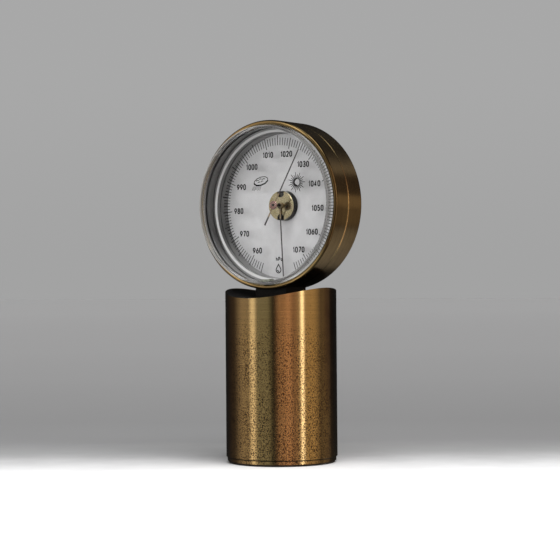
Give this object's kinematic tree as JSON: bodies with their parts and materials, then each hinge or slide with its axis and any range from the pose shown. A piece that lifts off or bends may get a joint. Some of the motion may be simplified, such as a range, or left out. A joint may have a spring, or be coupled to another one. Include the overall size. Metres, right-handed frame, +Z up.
{
  "type": "aneroid barometer",
  "caption": "Desk aneroid barometer: a brass drum with a clear-fronted pressure dial, held over the hollowed top of a brass column.",
  "frame": {"origin": "centre of the underside of the pedestal's felt pad", "axes": "+Z up the column, the dial faces -Y, +X is to the right as the dial is read"},
  "size_m": [0.1, 0.0662, 0.2025],
  "materials": {
    "column_brass": "brushed round the column, lacquered, with brown tarnish specks",
    "case_brass": "brushed round the drum, dark antique tone, polished front lip",
    "movement_brass": "polished",
    "steel": "turned",
    "dark_steel": "blackened",
    "iron": "as cast",
    "black_satin": "satin black",
    "felt": "felt",
    "clear_plastic": "clear, polished",
    "latch_plastic": "smooth",
    "liner_grey": "satin grey",
    "dial_white": "matt white",
    "hand_grey": "satin dark grey",
    "rose_metal": "turned, rose tone",
    "capsule_metal": "tinned bronze"
  },
  "bodies": {
    "stand": {"foot_pad": "felt", "base_plate": "column_brass", "tie_nut": "steel", "tie_washer": "steel", "tie_rod": "steel", "ballast": "iron", "column_tube": "column_brass", "saddle_cap": "black_satin", "neck_block": "black_satin", "case_screws": "dark_steel", "bezel_shell": "case_brass", "case_shell": "case_brass", "crystal": "clear_plastic", "crystal_latch": "latch_plastic", "bezel_liner": "liner_grey", "scale_retainer": "dial_white", "scale_disc": "clear_plastic", "dial_pin": "dark_steel", "spacer_ring": "liner_grey", "backing_plate": "dial_white", "clamp_ring": "steel", "rear_cover": "case_brass", "rear_cover_screws": "movement_brass", "movement_plate": "movement_brass", "movement_pillars": "movement_brass", "pillar_screws": "movement_brass", "front_plate": "movement_brass", "boss_sleeve": "black_satin", "boss_cap": "movement_brass", "boss_screws": "dark_steel", "arbor_bush": "dark_steel", "arbor_bridge": "movement_brass", "bridge_posts": "movement_brass", "bridge_screws": "steel", "lever_bracket": "steel", "capsule_spring": "steel", "spring_screws": "steel", "aneroid_capsule": "capsule_metal", "hairspring": "steel", "hairspring_stud": "movement_brass"},
    "sector": {"sector_gear": "movement_brass", "sector_arbor": "steel"},
    "pointer_set": {"pointer_arbor": "dark_steel", "pointer_collet": "rose_metal", "pointer": "hand_grey"},
    "lever": {"rocking_lever": "steel"},
    "stud": {"capsule_stud": "capsule_metal"},
    "marker": {"set_hand": "hand_grey"},
    "adjuster": {"calibration_screw": "movement_brass"}
  },
  "joints": [
    {"name": "sector_swing", "type": "hinge", "parent": "stand", "child": "sector", "pos_m": [0, 0, 0.1315], "axis": [0, 1, 0], "range_deg": [-14.73, 21.27]},
    {"name": "pointer_turn", "type": "hinge", "parent": "stand", "child": "pointer_set", "pos_m": [0, 0, 0.1525], "axis": [0, 1, 0], "range_deg": [-191.5, 132.7]},
    {"name": "lever_rock", "type": "hinge", "parent": "stand", "child": "lever", "pos_m": [0, 0.0151, 0.1315], "axis": [1, 0, 0], "range_deg": [-12.6, 18.2]},
    {"name": "stud_travel", "type": "slide", "parent": "stand", "child": "stud", "axis": [0, 1, 0], "range_m": [-0.00097, 0.00067]},
    {"name": "set_hand_turn", "type": "hinge", "parent": "stand", "child": "marker", "pos_m": [0, 0, 0.1525], "axis": [0, 1, 0], "continuous": true},
    {"name": "calibration_turn", "type": "hinge", "parent": "stand", "child": "adjuster", "pos_m": [0, 0.0249, 0.1665], "axis": [0, 1, 0], "range_deg": [-360, 360]}
  ],
  "couplings": [
    {"joint": "pointer_turn", "follows": "sector_swing", "ratio": -9},
    {"joint": "lever_rock", "follows": "sector_swing", "ratio": 0.847},
    {"joint": "stud_travel", "follows": "sector_swing", "m_per_rad": -0.00254}
  ]
}
